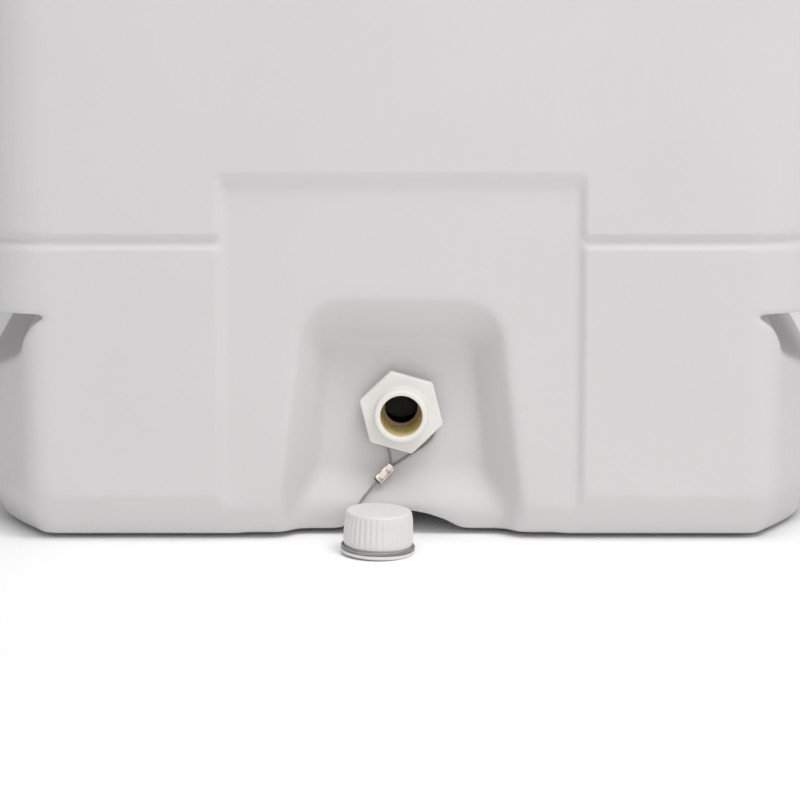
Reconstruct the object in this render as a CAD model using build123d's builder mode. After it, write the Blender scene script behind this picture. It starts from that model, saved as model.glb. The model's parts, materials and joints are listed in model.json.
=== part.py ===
"""Insulated fresh water tank: a double-walled rotomoulded box with a screw fill lid, a push-pull vent, and
a recessed outlet whose ribbed cap lies in front of it on a wire lanyard.

Units are millimetres. +Z is up, the outlet end faces -Y, and the origin is the centre of the base on the
ground.
"""

import os
from math import atan, cos, degrees, pi, radians, sin, tan

from build123d import *

# ---------------------------------------------------------------- driving dimensions
DEPTH = 560.0  # outlet end to back end
UPPER_WIDTH = 432.0  # above the lifting ledges
LOWER_WIDTH = 424.0  # below the lifting ledges
UPPER_CORNER = 45.0
LOWER_CORNER_X, LOWER_CORNER_Y = 183.0, 230.0  # ends of the facet at each lower corner
FACET_END_R, FACET_SIDE_R = 18.0, 60.0  # rounding of a facet into the end and into the side
FOOT_GAP = 2.0  # the moulding's base above the ground, on its rubber feet
BEVEL_TOP = 23.0  # top of the bevel round the base
BEVEL_IN = 10.0
LEDGE_Z = 115.0
POCKET_X, POCKET_R = 166.0, 21.0  # inner edge of the pocket under each ledge, and its rounded shoulder
POCKET_FALL = 0.65  # how steeply the pocket's floor runs down to the side
INNER_CORNER = 56.0  # of the space inside the outer skin
INNER_FLOOR = 8.0
WAIST_Z = 76.0  # the space is narrow from here up to the ledges, because of the finger pockets
DECK_Z = 366.0
RIM_Z = 372.0
RIM_W, RIM_R = 26.0, 13.0
FRONT = -DEPTH / 2

WALL = 4.5  # outer skin
LINER_WALL = 4.0
LINER_X, LINER_Y = 158.0, 238.0  # outer half sizes of the liner
LINER_FLOOR, LINER_TOP = 50.0, 326.0  # outer faces of the liner
LINER_CORNER, LINER_EDGE_R = 40.0, 18.0
SUMP_DROP = 14.0  # the well round the outlet's lock nut, below the liner's floor
SUMP_W, SUMP_L = 64.0, 60.0

GROOVE_Z = 151.0
GROOVE_HALF = 4.0
GROOVE_SLOPE = 40.0  # degrees, the sides of the groove from its floor's normal
PANEL_STEP = 3.0  # how far the end and side panels and the groove are set in
END_PANEL_HALF = 87.5
END_PANEL_TOP = 176.0
SIDE_PANEL_HALF = 150.0
SIDE_PANEL_LOW, SIDE_PANEL_TOP = 131.0, 316.0
PANEL_SLOPE = 4.0  # rise of a panel's sloping upper edge for each unit of its side slopes

RECESS_DEPTH = 25.0
WALL_Y = FRONT + RECESS_DEPTH  # back wall of the outlet recess
RECESS_HALF_TOP, RECESS_HALF_BASE = 50.5, 67.0  # half widths at the end face, at the top and at the base
RECESS_TOP, RECESS_R = 124.5, 22.0
SILL_DEPTH, SILL_Z = 14.5, 16.0  # front edge of the sill: its depth behind the end face and its height
SILL_LIP = 4.0  # straight drop of the sill's edge, before it slants back to the base
ARCH_HALF, ARCH_RISE = 30.0, 10.0
ARCH_LENGTH = 80.0  # from the end face

OUTLET_Z = 62.5
SPOUT_R = 13.3
SHANK_HOLE_R = 13.5
HEX_FLATS = 37.5
HEX_TURN = -16.0  # degrees, a corner of the outlet's hexagon from +X
NECK_GAP = 2.5  # room for the lanyard's loop behind the hexagon
WASHER_T = 2.0
OUTER_WASHER_R, INNER_WASHER_R = 17.0, 18.0
HEX_T = 4.0
NOSE = 8.5
BORE_R, THROAT_R = 10.4, 8.1
SLEEVE_R = 11.0
SLEEVE_BACK = 1.5  # the sleeve's front edge behind the mouth
THROAT_BACK = 22.0  # the throat behind the mouth
NUT_FLATS, NUT_T = 36.0, 8.0
ON_SPOUT_R = SPOUT_R + 0.1  # hole of whatever is pushed onto the shank

FOOT_X, FOOT_Y, FOOT_R = 150.0, 225.0, 16.0
PLUG_R, PLUG_STEM_R = 12.0, 9.0  # the foam plugs' heads and stems
SEAT_DEPTH = 2.0  # of the feet and the plugs' heads in the base
SEAT_GAP = 0.2

FILL_Y = -100.0
NECK_R = 78.0  # inside of the liner's fill neck
COLLAR_R = 80.0
COLLAR_BORE_R = 74.0
FLANGE_R = 101.0
LID_PITCH = 6.0
LID_TURNS = 2.5
SCREW_CIRCLE_R = 95.0
SCREWS = 6
SCREW_R, SCREW_HEAD_R = 2.4, 4.5
FIRST_SCREW = 30.0  # degrees from +X
LID_SKIRT_R = 87.0
LID_PLATE = 5.0
LID_RIBS, LID_RIB_R = 48, 1.6

VENT_Y = 160.0
VENT_TUBE_R = 7.5
VENT_BORE_R = 4.8
VENT_WIDE_R = 6.3
VENT_FLANGE_R, VENT_FLANGE_T = 16.0, 4.0
VENT_COLLAR_R, VENT_COLLAR_TOP = 10.0, 11.0  # the narrow collar on the flange, above the flange's underside
VENT_STEP = 10.0  # the wide bore reaches this far below the flange's underside
VENT_NUT_R, VENT_NUT_T = 13.5, 7.0
BUTTON_R, BUTTON_BORE_R, BUTTON_T = 13.0, 10.4, 5.0
BUTTON_RIBS, BUTTON_RIB_R = 20, 0.7
STEM_R, STEM_L = 3.6, 32.0

CABLE_D = 1.5
CAP_X, CAP_Y = -11.5, FRONT - 17.4
CAP_LEAN = 2.0  # degrees, the cap leans to +X where it stands
CAP_RIM_R = 18.2
CAP_HEIGHT = 21.2
CAP_BORE_R, CAP_CEILING = 13.6, 16.0
CAP_GROOVE_R, CAP_GROOVE_LOW, CAP_GROOVE_HIGH = 16.4, 1.8, 3.9
CAP_SIDE_R, CAP_TOP_R = 16.8, 16.0
CAP_RIBS, CAP_RIB_R = 40, 0.55
CAP_GASKET_R, CAP_GASKET_T = 13.4, 2.0

os.makedirs("parts", exist_ok=True)


def write(part, name):
    """Labels a finished piece and writes its STEP file."""
    part.label = name
    export_step(part, f"parts/{name}.step")


def plane_facing_front(y):
    """A sketch plane at depth y: its local x and y are +X and +Z, and its normal points out of the tank."""
    return Plane(origin=(0, y, 0), x_dir=(1, 0, 0), z_dir=(0, -1, 0))


# ---------------------------------------------------------------- shared outlines
def lower_outline():
    """Plan of the lower body: the ends run into the sides over a rounded corner and a slanted facet."""
    half = LOWER_WIDTH / 2
    quarter = [(LOWER_CORNER_X, DEPTH / 2), (half, LOWER_CORNER_Y)]
    right = [(x, -y) for x, y in quarter] + list(reversed(quarter))
    left = [(-x, y) for x, y in reversed(right)]
    Polygon(*right, *left, align=None)
    fillet(vertices().filter_by(lambda v: abs(v.Y) > LOWER_CORNER_Y + 1), radius=FACET_END_R)
    fillet(vertices().filter_by(lambda v: abs(v.Y) < LOWER_CORNER_Y + 1), radius=FACET_SIDE_R)


def recess_outline(depth):
    """The outlet recess seen from the front, at a depth behind the end face: a tapering arch, open below.
    Its sides, ceiling and corners draw in with the depth."""
    half_top = RECESS_HALF_TOP - 0.67 * depth
    half_base = RECESS_HALF_BASE - 0.87 * depth
    top = RECESS_TOP - 1.06 * depth
    below = -15
    Polygon((-half_base, below), (half_base, below), (half_top, top), (-half_top, top), align=None)
    fillet(vertices().group_by(Axis.Z)[-1], radius=RECESS_R - 0.45 * depth)


# ---------------------------------------------------------------- cutters
# The outlet recess: its sides and ceiling come from a loft, its back wall and sill from a side profile.
with BuildPart() as recess_void:
    for depth in (-6.0, RECESS_DEPTH + 5.0):
        with BuildSketch(plane_facing_front(FRONT + depth)):
            recess_outline(depth)
    loft()
    with BuildSketch(Plane.YZ) as side_profile:
        with BuildLine():
            outside_y, over_z, under_z = FRONT - 6, RECESS_TOP + 15.5, -10
            sill_y, heel_y = FRONT + SILL_DEPTH, FRONT + SILL_DEPTH + 3.5
            FilletPolyline(
                (outside_y, over_z),
                (WALL_Y, over_z),
                (WALL_Y, 2 * SILL_Z),
                (sill_y, SILL_Z),
                (sill_y, SILL_Z - SILL_LIP),
                (heel_y, FOOT_GAP),
                (heel_y, under_z),
                (outside_y, under_z),
                radius=[0.01, 16, 3.5, 3, 0.5, 0.01],
                close=False,
            )
            Line((outside_y, under_z), (outside_y, over_z))
        make_face()
    extrude(amount=90, both=True, mode=Mode.INTERSECT)

# The finger pocket under each ledge, straight from end to end; the body's shoulder below it is rounded.
with BuildPart() as pocket_void:
    with BuildSketch(Plane.XZ):
        with BuildLine():
            shoulder_x, shoulder_z = POCKET_X + POCKET_R, LEDGE_Z - POCKET_R
            side_x = LOWER_WIDTH / 2 + 3
            RadiusArc((POCKET_X, LEDGE_Z), (shoulder_x, shoulder_z), POCKET_R)
            Polyline(
                (shoulder_x, shoulder_z),
                (side_x, shoulder_z - POCKET_FALL * (side_x - shoulder_x)),
                (side_x, LEDGE_Z),
                (POCKET_X, LEDGE_Z),
            )
        make_face()
    extrude(amount=DEPTH, both=True)
    mirror(about=Plane.YZ)

# The set-in panels, two on the ends and two on the sides; the upper edge of each slopes outward.
with BuildPart() as panel_voids:
    for turn, reach, half, low, high in (
        (-90, DEPTH / 2, END_PANEL_HALF, -20, END_PANEL_TOP),
        (90, DEPTH / 2, END_PANEL_HALF, -20, END_PANEL_TOP),
        (0, UPPER_WIDTH / 2, SIDE_PANEL_HALF, SIDE_PANEL_LOW, SIDE_PANEL_TOP),
        (180, UPPER_WIDTH / 2, SIDE_PANEL_HALF, SIDE_PANEL_LOW, SIDE_PANEL_TOP),
    ):
        outward = Vector(cos(radians(turn)), sin(radians(turn)), 0)
        for inset, spread in ((PANEL_STEP, 0), (-1, PANEL_STEP)):
            rise = spread * PANEL_SLOPE
            plane = Plane(outward * (reach - inset), x_dir=(-outward.Y, outward.X, 0), z_dir=outward)
            with BuildSketch(plane):
                with Locations((0, (low + high + rise) / 2)):
                    Rectangle(2 * (half + spread), high - low + rise)
        loft()

# The groove all round the upper body, a channel with sloping sides.
with BuildPart() as groove_void:
    with BuildSketch(Plane.XY.offset(GROOVE_Z - GROOVE_HALF)):
        RectangleRounded(UPPER_WIDTH + 20, DEPTH + 20, UPPER_CORNER)
    extrude(amount=2 * GROOVE_HALF)
    for up in (-1, 1):
        with BuildSketch(Plane.XY.offset(GROOVE_Z)):
            RectangleRounded(UPPER_WIDTH - 2 * PANEL_STEP, DEPTH - 2 * PANEL_STEP, UPPER_CORNER - PANEL_STEP)
        extrude(amount=up * (GROOVE_HALF + 0.5), taper=-GROOVE_SLOPE, mode=Mode.SUBTRACT)

# The space inside the outer skin, which the foam and the liner fill: spans of height, each with the space's half
# width and how far it is set in from the ends.
with BuildPart() as skin_void:
    for low, high, half, inset in (
        (INNER_FLOOR, BEVEL_TOP + 3, LOWER_WIDTH / 2 - 19, 18),
        (BEVEL_TOP + 3, WAIST_Z, LOWER_WIDTH / 2 - 8, 8),
        (WAIST_Z, LEDGE_Z + WALL, POCKET_X - WALL - 1, 8),
        (LEDGE_Z + WALL, DECK_Z - 5, UPPER_WIDTH / 2 - 6, 8),
    ):
        with BuildSketch(Plane.XY.offset(low)):
            RectangleRounded(2 * half, DEPTH - 2 * inset, INNER_CORNER)
        extrude(amount=high - low)
    # room for the outlet recess and its sloping walls
    with Locations((0, FRONT, 0)):
        room_x, room_y, room_z = RECESS_HALF_BASE + 4, RECESS_DEPTH + WALL, RECESS_TOP + WALL
        Box(2 * room_x, 2 * room_y, 2 * room_z, mode=Mode.SUBTRACT)
    # thicker base over the drainage arch
    with Locations((0, FRONT, 0)):
        Box(2 * (ARCH_HALF + 7), 2 * (ARCH_LENGTH + 10), 2 * (ARCH_RISE + 7), mode=Mode.SUBTRACT)

# The liner's outer form, with its fill neck and its sump by the outlet.
with BuildPart() as liner_form:
    with BuildSketch(Plane.XY.offset(LINER_FLOOR)):
        RectangleRounded(2 * LINER_X, 2 * LINER_Y, LINER_CORNER)
    extrude(amount=LINER_TOP - LINER_FLOOR)
    fillet(edges().group_by(Axis.Z)[0], radius=LINER_EDGE_R)
    fillet(edges().group_by(Axis.Z)[-1], radius=LINER_EDGE_R)
    with Locations((0, -LINER_Y + SUMP_L / 2, LINER_FLOOR - SUMP_DROP)):
        Box(SUMP_W, SUMP_L, 60, align=(Align.CENTER, Align.CENTER, Align.MIN))
    with Locations((0, FILL_Y, LINER_TOP - 20)):
        Cylinder(NECK_R + LINER_WALL, DECK_Z - LINER_TOP + 20, align=(Align.CENTER, Align.CENTER, Align.MIN))

# The same form set in by the liner's wall: the water space.
with BuildPart() as water_void:
    with BuildSketch(Plane.XY.offset(LINER_FLOOR + LINER_WALL)):
        RectangleRounded(2 * (LINER_X - LINER_WALL), 2 * (LINER_Y - LINER_WALL), LINER_CORNER - LINER_WALL)
    extrude(amount=LINER_TOP - LINER_FLOOR - 2 * LINER_WALL)
    fillet(edges().group_by(Axis.Z)[0], radius=LINER_EDGE_R - LINER_WALL)
    fillet(edges().group_by(Axis.Z)[-1], radius=LINER_EDGE_R - LINER_WALL)
    with Locations((0, -LINER_Y + SUMP_L / 2, LINER_FLOOR - SUMP_DROP + LINER_WALL)):
        sump_x, sump_y = SUMP_W - 2 * LINER_WALL, SUMP_L - 2 * LINER_WALL
        Box(sump_x, sump_y, 40, align=(Align.CENTER, Align.CENTER, Align.MIN))
    with Locations((0, FILL_Y, LINER_TOP - 20)):
        Cylinder(NECK_R, DECK_Z - LINER_TOP + 40, align=(Align.CENTER, Align.CENTER, Align.MIN))

# Holes that pass through every wall: the outlet's shank and the vent's tube.
with BuildPart() as through_holes:
    with BuildSketch(plane_facing_front(FRONT)):
        with Locations((0, OUTLET_Z)):
            Circle(SHANK_HOLE_R)
    extrude(amount=-70)
    with Locations((0, VENT_Y, LINER_TOP - 10)):
        Cylinder(VENT_TUBE_R + 0.3, 80, align=(Align.CENTER, Align.CENTER, Align.MIN))

# ---------------------------------------------------------------- outer shell
FOOT_SPOTS = [(x, y) for x in (-FOOT_X, FOOT_X) for y in (-FOOT_Y, FOOT_Y)]
PLUG_SPOTS = [(0, -120), (0, 160)]

with BuildPart() as outer_shell:
    with BuildSketch(Plane.XY.offset(BEVEL_TOP)):
        lower_outline()
    extrude(amount=-(BEVEL_TOP - FOOT_GAP), taper=degrees(atan(BEVEL_IN / (BEVEL_TOP - FOOT_GAP))))
    with BuildSketch(Plane.XY.offset(BEVEL_TOP)):
        lower_outline()
    extrude(amount=LEDGE_Z - BEVEL_TOP)
    with BuildSketch(Plane.XY.offset(LEDGE_Z)):
        RectangleRounded(UPPER_WIDTH, DEPTH, UPPER_CORNER)
    extrude(amount=RIM_Z - LEDGE_Z)
    fillet(edges().group_by(Axis.Z)[-1], radius=RIM_R)
    # the sunk deck inside the rim
    with BuildSketch(Plane.XY.offset(RIM_Z)):
        RectangleRounded(UPPER_WIDTH - 2 * RIM_W, DEPTH - 2 * RIM_W, 28)
    extrude(amount=DECK_Z - RIM_Z, mode=Mode.SUBTRACT, taper=30)
    add(panel_voids.part, mode=Mode.SUBTRACT)
    add(groove_void.part, mode=Mode.SUBTRACT)
    add(pocket_void.part, mode=Mode.SUBTRACT)
    add(recess_void.part, mode=Mode.SUBTRACT)
    # drainage arch under the outlet
    arch_r = (ARCH_HALF**2 + ARCH_RISE**2) / (2 * ARCH_RISE)
    with BuildSketch(plane_facing_front(FRONT - 10)):
        with Locations((0, FOOT_GAP + ARCH_RISE - arch_r)):
            Circle(arch_r)
    extrude(amount=-(ARCH_LENGTH + 10), mode=Mode.SUBTRACT)
    add(skin_void.part, mode=Mode.SUBTRACT)
    add(through_holes.part, mode=Mode.SUBTRACT)
    # fill opening and the collar's screw holes
    with Locations((0, FILL_Y, DECK_Z)):
        Hole(NECK_R + LINER_WALL, depth=12)
    with Locations((0, FILL_Y, DECK_Z)):
        with PolarLocations(SCREW_CIRCLE_R, SCREWS, start_angle=FIRST_SCREW):
            Hole(SCREW_R + 0.1, depth=12)
    # seats for the rubber feet and the two foam plugs
    with BuildSketch(Plane.XY.offset(FOOT_GAP)):
        with Locations(*FOOT_SPOTS):
            Circle(FOOT_R + SEAT_GAP)
        with Locations(*PLUG_SPOTS):
            Circle(PLUG_R + SEAT_GAP)
    extrude(amount=SEAT_DEPTH, mode=Mode.SUBTRACT)
    with BuildSketch(Plane.XY.offset(FOOT_GAP)):
        with Locations(*PLUG_SPOTS):
            Circle(PLUG_STEM_R + SEAT_GAP)
    extrude(amount=12, mode=Mode.SUBTRACT)
write(outer_shell.part, "outer_shell")

# ---------------------------------------------------------------- liner and foam
with BuildPart() as inner_liner:
    add(liner_form.part)
    add(water_void.part, mode=Mode.SUBTRACT)
    add(through_holes.part, mode=Mode.SUBTRACT)
write(inner_liner.part, "inner_liner")

with BuildPart() as foam_insulation:
    add(skin_void.part)
    add(liner_form.part, mode=Mode.SUBTRACT)
    add(through_holes.part, mode=Mode.SUBTRACT)
write(foam_insulation.part, "foam_insulation")

# ---------------------------------------------------------------- base hardware
with BuildPart() as rubber_feet:
    with BuildSketch():
        with Locations(*FOOT_SPOTS):
            Circle(FOOT_R)
    extrude(amount=FOOT_GAP + SEAT_DEPTH)
    fillet(edges().group_by(Axis.Z)[0], radius=1)
write(rubber_feet.part, "rubber_feet")

with BuildPart() as foam_plugs:
    with BuildSketch(Plane.XY.offset(FOOT_GAP)):
        with Locations(*PLUG_SPOTS):
            Circle(PLUG_R)
    extrude(amount=SEAT_DEPTH)
    with BuildSketch(Plane.XY.offset(FOOT_GAP + SEAT_DEPTH)):
        with Locations(*PLUG_SPOTS):
            Circle(PLUG_STEM_R)
    extrude(amount=INNER_FLOOR - FOOT_GAP - SEAT_DEPTH)
write(foam_plugs.part, "foam_plugs")

# ---------------------------------------------------------------- outlet fitting
WASHER_Y = WALL_Y - WASHER_T
HEX_BACK_Y = WASHER_Y - NECK_GAP
HEX_FRONT_Y = HEX_BACK_Y - HEX_T
MOUTH_Y = HEX_FRONT_Y - NOSE
LINER_FACE_Y = -LINER_Y + LINER_WALL
SHANK_END_Y = LINER_FACE_Y + WASHER_T + NUT_T


def outlet_ring(radius, bore, front_y, back_y):
    """Adds a ring round the outlet's axis between two depths."""
    with BuildSketch(plane_facing_front(front_y)) as ring:
        with Locations((0, OUTLET_Z)):
            Circle(radius)
            Circle(bore, mode=Mode.SUBTRACT)
    extrude(ring.sketch, amount=-(back_y - front_y))


with BuildPart() as drain_spout:
    outlet_ring(SPOUT_R, SLEEVE_R, MOUTH_Y, SHANK_END_Y)
    with BuildSketch(plane_facing_front(HEX_FRONT_Y)):
        with Locations((0, OUTLET_Z)):
            RegularPolygon(HEX_FLATS / 2 / cos(radians(30)), 6, rotation=HEX_TURN)
            Circle(SLEEVE_R, mode=Mode.SUBTRACT)
    extrude(amount=-HEX_T)
    fillet(edges().filter_by(GeomType.CIRCLE).group_by(Axis.Y)[0], radius=1.0)
write(drain_spout.part, "drain_spout")

with BuildPart() as drain_sleeve:
    outlet_ring(SLEEVE_R, BORE_R, MOUTH_Y + SLEEVE_BACK, MOUTH_Y + THROAT_BACK)
    outlet_ring(SLEEVE_R, THROAT_R, MOUTH_Y + THROAT_BACK, SHANK_END_Y)
write(drain_sleeve.part, "drain_sleeve")

with BuildPart() as drain_outer_washer:
    outlet_ring(OUTER_WASHER_R, ON_SPOUT_R, WASHER_Y, WALL_Y)
write(drain_outer_washer.part, "drain_outer_washer")

with BuildPart() as drain_inner_washer:
    outlet_ring(INNER_WASHER_R, ON_SPOUT_R, LINER_FACE_Y, LINER_FACE_Y + WASHER_T)
write(drain_inner_washer.part, "drain_inner_washer")

with BuildPart() as drain_lock_nut:
    with BuildSketch(plane_facing_front(LINER_FACE_Y + WASHER_T)):
        with Locations((0, OUTLET_Z)):
            RegularPolygon(NUT_FLATS / 2 / cos(radians(30)), 6)
            Circle(ON_SPOUT_R, mode=Mode.SUBTRACT)
    extrude(amount=-NUT_T)
write(drain_lock_nut.part, "drain_lock_nut")

# ---------------------------------------------------------------- outlet cap, standing on the ground
LEAN = radians(CAP_LEAN)
CAP_PLANE = Plane(
    origin=(CAP_X, CAP_Y, CAP_RIM_R * sin(LEAN)),
    x_dir=(cos(LEAN), 0, -sin(LEAN)),
    z_dir=(sin(LEAN), 0, cos(LEAN)),
)
RING_Z = 2.85  # height of the lanyard's ring on the cap
RING_R = 17.5
FERRULE_TURN = -20.0  # degrees, the ring's ferrule round the cap from straight behind it

with BuildPart() as drain_cap:
    with BuildSketch(Plane(CAP_PLANE.origin, x_dir=CAP_PLANE.x_dir, z_dir=-CAP_PLANE.y_dir)):
        with BuildLine():
            Polyline(
                (CAP_BORE_R, 0),
                (CAP_RIM_R, 0),
                (CAP_RIM_R, CAP_GROOVE_LOW),
                (CAP_GROOVE_R, CAP_GROOVE_LOW),
                (CAP_GROOVE_R, CAP_GROOVE_HIGH),
                (CAP_SIDE_R, CAP_GROOVE_HIGH + 0.1),
                (CAP_TOP_R, CAP_HEIGHT - 1.2),
                (CAP_TOP_R - 1.2, CAP_HEIGHT),
                (0, CAP_HEIGHT),
                (0, CAP_CEILING),
                (CAP_BORE_R, CAP_CEILING),
                close=True,
            )
        make_face()
    revolve(axis=Axis(CAP_PLANE.origin, CAP_PLANE.z_dir))
    with BuildSketch(CAP_PLANE.offset(4.6)):
        with PolarLocations(CAP_SIDE_R + 0.15, CAP_RIBS):
            Circle(CAP_RIB_R)
    extrude(amount=CAP_HEIGHT - 7)
write(drain_cap.part, "drain_cap")

with BuildPart() as cap_gasket:
    with BuildSketch(CAP_PLANE.offset(CAP_CEILING - CAP_GASKET_T)):
        Circle(CAP_GASKET_R)
    extrude(amount=CAP_GASKET_T)
write(cap_gasket.part, "cap_gasket")

# ---------------------------------------------------------------- lanyard
LOOP_Y = HEX_BACK_Y + NECK_GAP / 2
FERRULE_W, FERRULE_T, FERRULE_L = 5.0, 3.2, 10.0
STRAND_GAP = 0.85  # each strand's offset from a ferrule's centre line
FERRULE_TOP = Vector(-4.8, LOOP_Y - 0.4, 34.5)
FERRULE_LOW = Vector(-12.0, LOOP_Y - 4.7, 27.7)

# The cap's ferrule lies behind the cap, along the ring, which bulges out to it.
CAP_SIDE = Plane(
    origin=CAP_PLANE.origin + CAP_PLANE.z_dir * RING_Z,
    x_dir=CAP_PLANE.x_dir * cos(radians(FERRULE_TURN)) + CAP_PLANE.y_dir * sin(radians(FERRULE_TURN)),
    z_dir=CAP_PLANE.z_dir,
)
FERRULE_REACH = CAP_RIM_R + FERRULE_W / 2 + 0.6
CAP_FERRULE_START = CAP_SIDE.from_local_coords(Vector(-FERRULE_L / 2, FERRULE_REACH, 0))
CAP_FERRULE_END = CAP_SIDE.from_local_coords(Vector(FERRULE_L / 2, FERRULE_REACH, 0))
CABLE_END = CAP_FERRULE_START + CAP_SIDE.y_dir * STRAND_GAP

# Hand-chosen points of the free stretch, from the loop's ferrule over the sill and down behind the cap.
ROUTE = [
    FERRULE_LOW,
    Vector(-14.9, -264.8, 24.4),
    Vector(-18.0, -267.9, 21.5),
    Vector(-20.9, -270.8, 17.9),
    Vector(-22.9, -272.7, 13.4),
    Vector(-23.2, -273.6, 8.9),
    Vector(-21.0, -273.9, 5.4),
    Vector(-17.3, -274.0, 3.7),
    CABLE_END - CAP_SIDE.x_dir * 3.6,
    CABLE_END,
]


def corner_radii(points):
    """Radius at each inner point: 0.45 of the shorter run over the tangent of half the turn."""
    radii = []
    for before, here, after in zip(points, points[1:], points[2:]):
        run_in, run_out = here - before, after - here
        turn = radians(run_in.get_angle(run_out))
        radii.append(0.45 * min(run_in.length, run_out.length) / tan(turn / 2))
    return radii


def ferrule(start, end, flat_dir):
    """Adds a crimped oval sleeve from start to end, its wide side along flat_dir."""
    along = (end - start).normalized()
    wide = (flat_dir - along * flat_dir.dot(along)).normalized()
    with BuildSketch(Plane(origin=start, x_dir=wide, z_dir=along)) as oval:
        SlotOverall(FERRULE_W, FERRULE_T)
    extrude(oval.sketch, amount=(end - start).length)


def round_tube(points, radii):
    """Adds a tube of the cable's diameter along runs joined by tangent arcs; returns its length."""
    with BuildLine() as path:
        FilletPolyline(*points, radius=radii)
    start = points[0]
    with BuildSketch(Plane(origin=start, z_dir=(points[1] - start).normalized())) as section:
        Circle(CABLE_D / 2)
    sweep(section.sketch, path=path.wire())
    return path.wire().length


with BuildPart() as lanyard_cable:
    route_radii = corner_radii(ROUTE)
    route_length = round_tube(ROUTE, route_radii)
print("cable radii", [round(r, 1) for r in route_radii], "length", round(route_length, 2))
print("cable volume ratio", lanyard_cable.part.volume / (route_length * pi * (CABLE_D / 2) ** 2))
write(lanyard_cable.part, "lanyard_cable")

# The loop round the spout's neck: offsets from the outlet's axis in X and Z.
LOOP_POINTS = [
    (-5.2, -27.6),
    (-5.0, -20.5),
    (-11.5, -13.5),
    (-16.5, 0.0),
    (-13.0, 12.0),
    (0.0, 17.4),
    (13.0, 12.0),
    (17.4, -1.5),
    (16.8, -14.0),
    (3.4, -23.0),
    (-4.2, -27.9),
]
with BuildPart() as spout_loop:
    loop_line = [Vector(x, LOOP_Y, OUTLET_Z + z) for x, z in LOOP_POINTS]
    round_tube(loop_line, corner_radii(loop_line))
write(spout_loop.part, "spout_loop")

with BuildPart() as spout_ferrule:
    ferrule(FERRULE_TOP, FERRULE_LOW, Vector(0.7, 0, -0.7))
write(spout_ferrule.part, "spout_ferrule")

# The ring follows the cap's groove, then runs straight to both ends of the ferrule.
LEAVE = radians(60)  # where the ring leaves the groove, each side of the ferrule
BULGE = FERRULE_REACH - STRAND_GAP
bend_r = (RING_R - FERRULE_L / 2 * sin(LEAVE) - BULGE * cos(LEAVE)) / (1 - cos(LEAVE))
bend_end = (FERRULE_L / 2 + bend_r * sin(LEAVE), BULGE - bend_r * (1 - cos(LEAVE)))
with BuildPart() as cap_loop:
    with BuildLine(CAP_SIDE) as ring_path:
        for side in (1, -1):
            Line((side * RING_R * sin(LEAVE), RING_R * cos(LEAVE)), (side * bend_end[0], bend_end[1]))
            RadiusArc((side * bend_end[0], bend_end[1]), (side * FERRULE_L / 2, BULGE), -side * bend_r)
        CenterArc((0, 0), RING_R, 90 - degrees(LEAVE), -(360 - 2 * degrees(LEAVE)))
    ring_start = CAP_SIDE.from_local_coords(Vector(FERRULE_L / 2, BULGE, 0))
    with BuildSketch(Plane(origin=ring_start, z_dir=CAP_SIDE.x_dir)):
        Circle(CABLE_D / 2)
    sweep(path=ring_path.wire())
print("ring bend radius", round(bend_r, 2), "ring volume", round(cap_loop.part.volume, 1))
write(cap_loop.part, "cap_loop")

with BuildPart() as cap_ferrule:
    ferrule(CAP_FERRULE_START, CAP_FERRULE_END, CAP_SIDE.y_dir)
write(cap_ferrule.part, "cap_ferrule")

# ---------------------------------------------------------------- fill collar, lid and screws
GASKET_T = 1.5
FLANGE_Z = DECK_Z + GASKET_T
FLANGE_T = 5.0
COLLAR_TOP = FLANGE_Z + FLANGE_T + LID_PITCH * LID_TURNS + 0.5
LID_GASKET_T = 2.0
LID_TOP_UNDERSIDE = COLLAR_TOP + LID_GASKET_T
SKIRT_LOW = FLANGE_Z + FLANGE_T + 1.2
SCREW_TOP = FLANGE_Z + FLANGE_T - 0.2
SCREW_HEAD_T = SCREW_HEAD_R - SCREW_R


def fill_ring(radius, bore, low, high):
    """Adds a ring round the fill opening's axis between two heights."""
    with BuildSketch(Plane.XY.offset(low)) as ring:
        with Locations((0, FILL_Y)):
            Circle(radius)
            Circle(bore, mode=Mode.SUBTRACT)
    extrude(ring.sketch, amount=high - low)


with BuildPart() as collar_gasket:
    fill_ring(FLANGE_R - 1, NECK_R, DECK_Z, FLANGE_Z)
    with Locations((0, FILL_Y, FLANGE_Z)):
        with PolarLocations(SCREW_CIRCLE_R, SCREWS, start_angle=FIRST_SCREW):
            Hole(SCREW_R + 0.3, depth=5)
write(collar_gasket.part, "collar_gasket")

with BuildPart() as fill_collar:
    fill_ring(FLANGE_R, COLLAR_BORE_R, FLANGE_Z, FLANGE_Z + FLANGE_T)
    fill_ring(COLLAR_R, COLLAR_BORE_R, FLANGE_Z + FLANGE_T, COLLAR_TOP)
    fill_ring(NECK_R - 0.3, COLLAR_BORE_R, FLANGE_Z - 14, FLANGE_Z)
    with Locations((0, FILL_Y, FLANGE_Z + FLANGE_T)):
        with PolarLocations(SCREW_CIRCLE_R, SCREWS, start_angle=FIRST_SCREW):
            CounterSinkHole(SCREW_R + 0.3, SCREW_HEAD_R + 0.3, depth=12, counter_sink_angle=90)
write(fill_collar.part, "fill_collar")

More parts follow.
